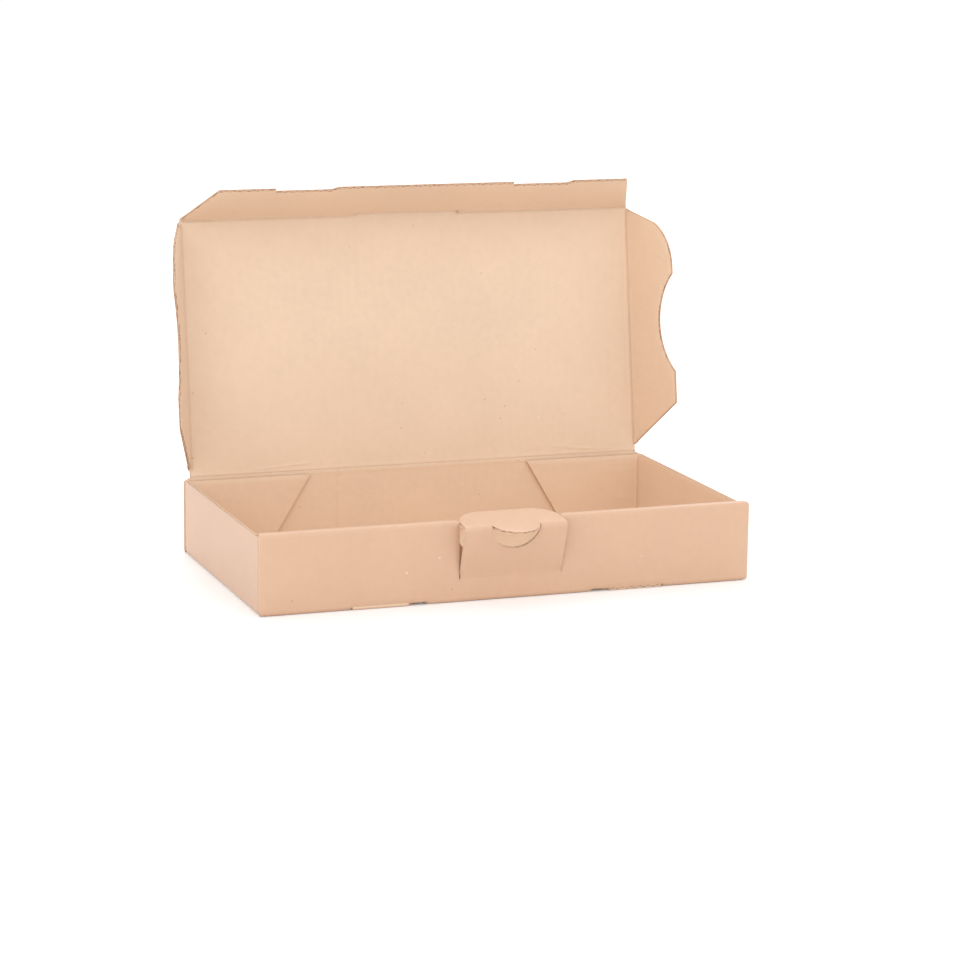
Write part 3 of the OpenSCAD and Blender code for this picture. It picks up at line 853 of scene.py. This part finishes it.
def crease_paper(name, at, along, onward, inward, fold_degrees, low, high, blank_of, inner):
    """at is a point of the crease, along its direction, onward the way out of the first panel and
    inward the way to the inside of the box. low and high are its ends along the crease, and
    blank_of gives its place on the flat blank."""
    fold = math.radians(fold_degrees)
    next_on = onward * math.cos(fold) + inward * math.sin(fold)
    next_in = inward * math.cos(fold) - onward * math.sin(fold)
    half, line = BOARD / 2, []
    if inner:
        back = half * math.tan(fold / 2)
        corner = inward * half - onward * back
        line += [corner - onward * gap + inward * lift for gap, lift in BEADS]
        line.append(corner - corner.normalized() * VALLEY)
        line += [corner + next_on * gap + next_in * lift for gap, lift in reversed(BEADS)]
    else:
        line += [-onward * 3.0 - inward * (half + 0.03), -onward * 1.2 - inward * (half + 0.08)]
        if fold > 0:
            for step in range(7):
                angle = fold * step / 6
                line.append(-(inward * math.cos(angle) - onward * math.sin(angle)) * (half + 0.1))
        else:
            line.append(-(inward + next_in).normalized() * (half + 0.1) / math.cos(fold / 2))
        line += [next_on * 1.2 - next_in * (half + 0.08), next_on * 3.0 - next_in * (half + 0.03)]
    bm = bmesh.new()
    sheet = bm.verts.layers.float_vector.new("sheet")
    crease = bm.verts.layers.float.new("crease")
    run, chain = 0.0, []
    for number, point in enumerate(line):
        run += (point - line[number - 1]).length if number else 0
        vertex = bm.verts.new(at + along * low + point)
        vertex[sheet], vertex[crease] = (run, low, -1 if inner else 1), SHADE[number] if inner else 0
        chain.append(vertex)
    edges = [bm.edges.new(pair) for pair in zip(chain, chain[1:])]
    steps = max(1, round((high - low) / STRIP_STEP))
    for _ in range(steps):
        grown = bmesh.ops.extrude_edge_only(bm, edges=edges)
        edges = [g for g in grown["geom"] if isinstance(g, bmesh.types.BMEdge)]
        fresh = [g for g in grown["geom"] if isinstance(g, bmesh.types.BMVert)]
        edges = [e for e in edges if e.verts[0] in fresh and e.verts[1] in fresh]
        for vertex in fresh:
            vertex.co += along * (high - low) / steps
            across, place, side = vertex[sheet]
            vertex[sheet] = (across, place + (high - low) / steps, side)
    for vertex in bm.verts:
        across, place, side = vertex[sheet]
        vertex[sheet] = (*blank_of(across - run / 2, place), side)
    bmesh.ops.recalc_face_normals(bm, faces=bm.faces)
    side, next_side = (inward, next_in) if inner else (-inward, -next_in)
    if sum(face.normal.dot(side) for face in bm.faces) < 0:
        bmesh.ops.reverse_faces(bm, faces=bm.faces)
    bmesh.ops.solidify(bm, geom=bm.faces[:], thickness=PAPER)
    for vertex in bm.verts:
        vertex.co *= MM
    mesh = bpy.data.meshes.new(name)
    bm.to_mesh(mesh)
    bm.free()
    mesh.materials.append(liner)
    mesh.shade_smooth()
    mesh.set_sharp_from_angle(angle=math.radians(60))
    piece = bpy.data.objects.new(name, mesh)
    bpy.context.collection.objects.link(piece)
    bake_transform(piece)
    return piece


across, upright, inside_y = Vector((1, 0, 0)), Vector((0, 0, 1)), Vector((0, -1, 0))
tuck_at = hinge + lid_up * LID_L
y_hinge, y_tuck, y_lock = on_back(HINGE_Z), on_back(HINGE_Z) + LID_L, on_front(LOCK_Z)
lean, tuck_turn, tilt = (math.degrees(angle) for angle in (LEAN, TUCK_FOLD, TILT))
made = []
for inner in (True, False):
    word = "inner" if inner else "outer"
    made += [
        crease_paper("hinge_paper_" + word, hinge, across, upright, inside_y, -lean,
                     -LID_HALF + SMALL, LID_HALF - SMALL,
                     lambda run, place: (place, y_hinge + run), inner),
        crease_paper("tuck_paper_left_" + word, tuck_at, across, lid_up, -lid_out, tuck_turn,
                     -TUCK_HALF + 1.2, SLIT_LEFT - 0.3,
                     lambda run, place: (place, y_tuck + run), inner),
        crease_paper("tuck_paper_right_" + word, tuck_at, across, lid_up, -lid_out, tuck_turn,
                     SLIT_RIGHT + 0.3, TUCK_HALF - 1.2,
                     lambda run, place: (place, y_tuck + run), inner),
        crease_paper("lock_paper_" + word, tab_at, across, upright, -inside_y, -tilt,
                     -LW + SMALL, LW - SMALL,
                     lambda run, place: (place, y_lock - run), inner)]
    for name, sign, fold_degrees in (("left_ear", -1, LEFT_FOLD), ("right_ear", 1, RIGHT_FOLD)):
        made.append(crease_paper(
            name + "_paper_" + word, hinge + across * sign * LID_HALF, lid_up, across * sign, -lid_out,
            fold_degrees, EAR_FROM + 1.4, EAR_TO - 1.6,
            lambda run, place, sign=sign: (sign * (LID_HALF + run), y_hinge + place), inner))
print(len(made), "crease papers")

# %% [markdown]
# ## Stage
# A white studio: a white floor that keeps the box's shadow, a white world, and soft lamps.

# %% Floor
bm = bmesh.new()
bmesh.ops.create_grid(bm, x_segments=1, y_segments=1, size=6)
mesh = bpy.data.meshes.new("floor")
bm.to_mesh(mesh)
bm.free()
floor = bpy.data.objects.new("floor", mesh)
bpy.context.collection.objects.link(floor)
white, tree = new_material("white floor")
path = add(tree, "ShaderNodeLightPath")
paint = add(tree, "ShaderNodeBsdfDiffuse", Color=(0.9, 0.9, 0.9, 1))
glow = add(tree, "ShaderNodeEmission", Color=(1, 1, 1, 1), Strength=0.16)
both = add(tree, "ShaderNodeAddShader", _0=paint.outputs["BSDF"], _1=glow.outputs["Emission"])
seen = add(tree, "ShaderNodeMixShader", _0=path.outputs["Is Camera Ray"],
           _1=paint.outputs["BSDF"], _2=both.outputs["Shader"])
add(tree, "ShaderNodeOutputMaterial", Surface=seen.outputs["Shader"])
floor.data.materials.append(white)

# %% World and lamps
world = bpy.data.worlds.new("studio")
bpy.context.scene.world = world
world.use_nodes = True
tree = world.node_tree
tree.nodes.clear()
path = add(tree, "ShaderNodeLightPath")
glossy = add(tree, "ShaderNodeMath", {"operation": "MAXIMUM"},
             _0=path.outputs["Is Camera Ray"], _1=path.outputs["Is Glossy Ray"])
clear = add(tree, "ShaderNodeMath", {"operation": "MAXIMUM"},
            _0=glossy.outputs["Value"], _1=path.outputs["Is Transmission Ray"])
shown = add(tree, "ShaderNodeBackground", Color=(1, 1, 1, 1), Strength=1.0)
lit = add(tree, "ShaderNodeBackground", Color=(1, 1, 1, 1), Strength=0.97)
mix = add(tree, "ShaderNodeMixShader", _0=clear.outputs["Value"],
          _1=lit.outputs["Background"], _2=shown.outputs["Background"])
add(tree, "ShaderNodeOutputWorld", Surface=mix.outputs["Shader"])


def softbox(name, at, size, power, target=(0, 0, 0.1)):
    lamp = bpy.data.lights.new(name, "AREA")
    lamp.shape, lamp.size, lamp.energy = "SQUARE", size, power
    box = bpy.data.objects.new(name, lamp)
    box.location = at
    box.rotation_mode = "QUATERNION"
    box.rotation_quaternion = (Vector(target) - Vector(at)).to_track_quat("-Z", "Y")
    bpy.context.collection.objects.link(box)


softbox("overhead softbox", (-0.3, -1.7, 1.8), 1.6, 6.3)
softbox("left softbox", (-1.8, -1.6, 1.3), 1.2, 7)
softbox("back softbox", (0.5, 1.7, 2.3), 1.4, 24)

scene = bpy.context.scene
scene.view_settings.view_transform = "Standard"
